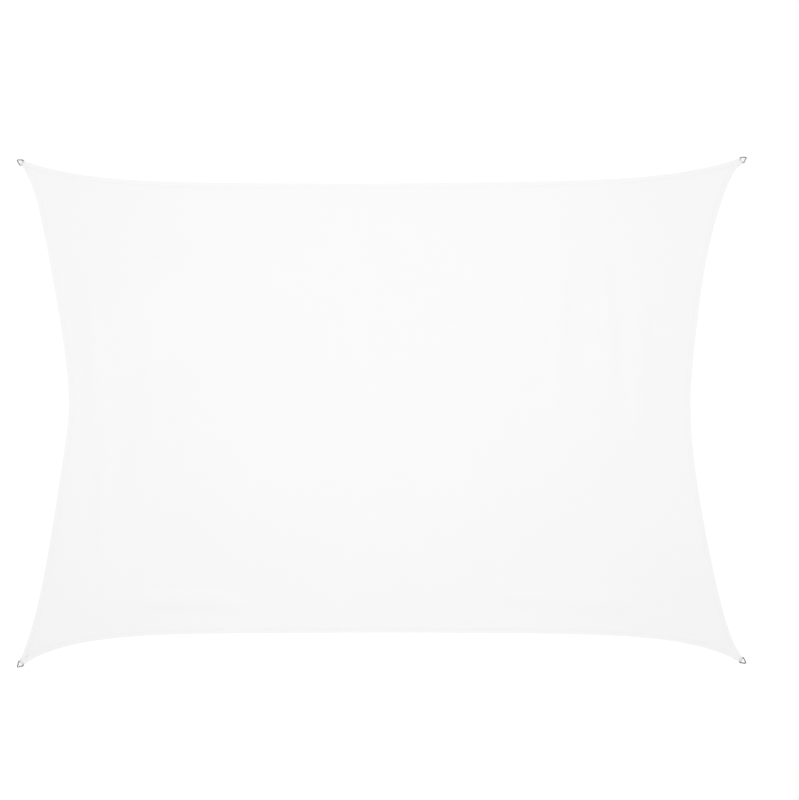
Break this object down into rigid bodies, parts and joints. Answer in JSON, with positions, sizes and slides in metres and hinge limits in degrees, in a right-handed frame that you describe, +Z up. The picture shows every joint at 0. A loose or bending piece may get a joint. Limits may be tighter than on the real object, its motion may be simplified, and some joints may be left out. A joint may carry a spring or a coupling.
{
  "type": "shade sail",
  "caption": "Rectangular white cloth shade sail with inward-bowed hemmed edges and a webbing-held steel triangle ring at each corner, laid out flat.",
  "frame": {"origin": "on the surface that the sail rests on, below the middle of the box round its rings", "axes": "+X along the 5 m edges, +Y along the 3.5 m edges, +Z up out of the surface that the sail lies on"},
  "size_m": [4.9998, 3.4999, 0.0097],
  "materials": {
    "sail_cloth": "plain-woven white polyester, matt, hem and pocket seams stitched",
    "webbing": "twill-woven off-white polyester webbing",
    "ring_steel": "polished stainless steel wire"
  },
  "bodies": {
    "root": {"sail_cloth": "sail_cloth", "webbing_top_left": "webbing", "webbing_top_right": "webbing", "webbing_bottom_left": "webbing", "webbing_bottom_right": "webbing", "ring_top_left": "ring_steel", "ring_top_right": "ring_steel", "ring_bottom_left": "ring_steel", "ring_bottom_right": "ring_steel"}
  },
  "joints": []
}
